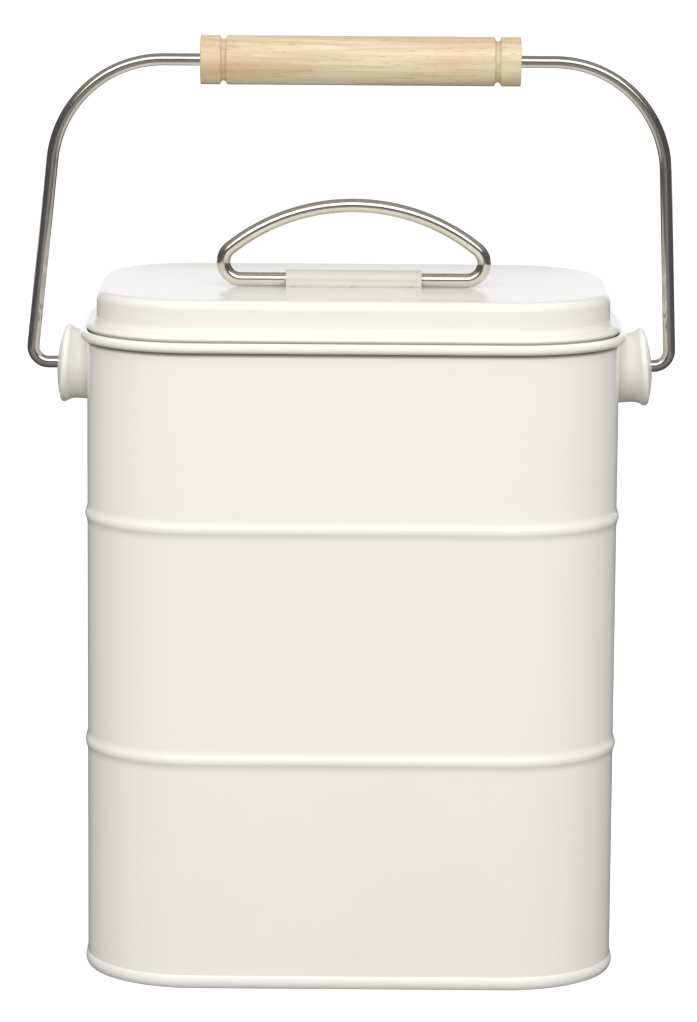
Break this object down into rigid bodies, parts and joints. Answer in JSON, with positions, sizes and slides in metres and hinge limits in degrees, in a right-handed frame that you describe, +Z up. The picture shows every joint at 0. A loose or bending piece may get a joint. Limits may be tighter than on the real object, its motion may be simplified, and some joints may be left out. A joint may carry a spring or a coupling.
{
  "type": "compost caddy",
  "caption": "Upright enamelled steel caddy with rounded corners, a lift-off plug lid with a folding wire pull, and a swinging wire bail with a turned wooden grip.",
  "frame": {"origin": "centre of the footprint, on the surface the caddy stands on", "axes": "+Z up, +X to the right of the front, the front faces -Y"},
  "size_m": [0.2054, 0.1164, 0.2913],
  "materials": {
    "enamel": "gloss cream enamel",
    "wire": "bright nickel plate",
    "grip_wood": "clear lacquer",
    "charcoal": "matt carbon felt",
    "tray_steel": "satin"
  },
  "bodies": {
    "caddy": {"body_wall": "enamel", "base_panel": "enamel", "ear_boss_left": "enamel", "ear_boss_right": "enamel"},
    "bail": {"bail_wire": "wire"},
    "grip": {"bail_grip": "grip_wood"},
    "lid": {"lid_shell": "enamel", "lid_plug_ring": "enamel", "lid_handle_clip": "enamel", "filter_pad": "charcoal", "filter_tray": "tray_steel", "filter_clips": "tray_steel"},
    "lid_pull": {"lid_handle_wire": "wire"}
  },
  "joints": [
    {"name": "bail_swing", "type": "hinge", "parent": "caddy", "child": "bail", "pos_m": [0, 0, 0.188], "axis": [1, 0, 0], "range_deg": [-136, 136]},
    {"name": "grip_spin", "type": "hinge", "parent": "bail", "child": "grip", "pos_m": [0, 0, 0.2833], "axis": [1, 0, 0], "continuous": true},
    {"name": "lid_lift", "type": "slide", "parent": "caddy", "child": "lid", "axis": [0, 0, 1], "range_m": [0, 0.032]},
    {"name": "lid_pull_fold", "type": "hinge", "parent": "lid", "child": "lid_pull", "pos_m": [0, 0, 0.21463], "axis": [1, 0, 0], "range_deg": [-88, 88]}
  ]
}
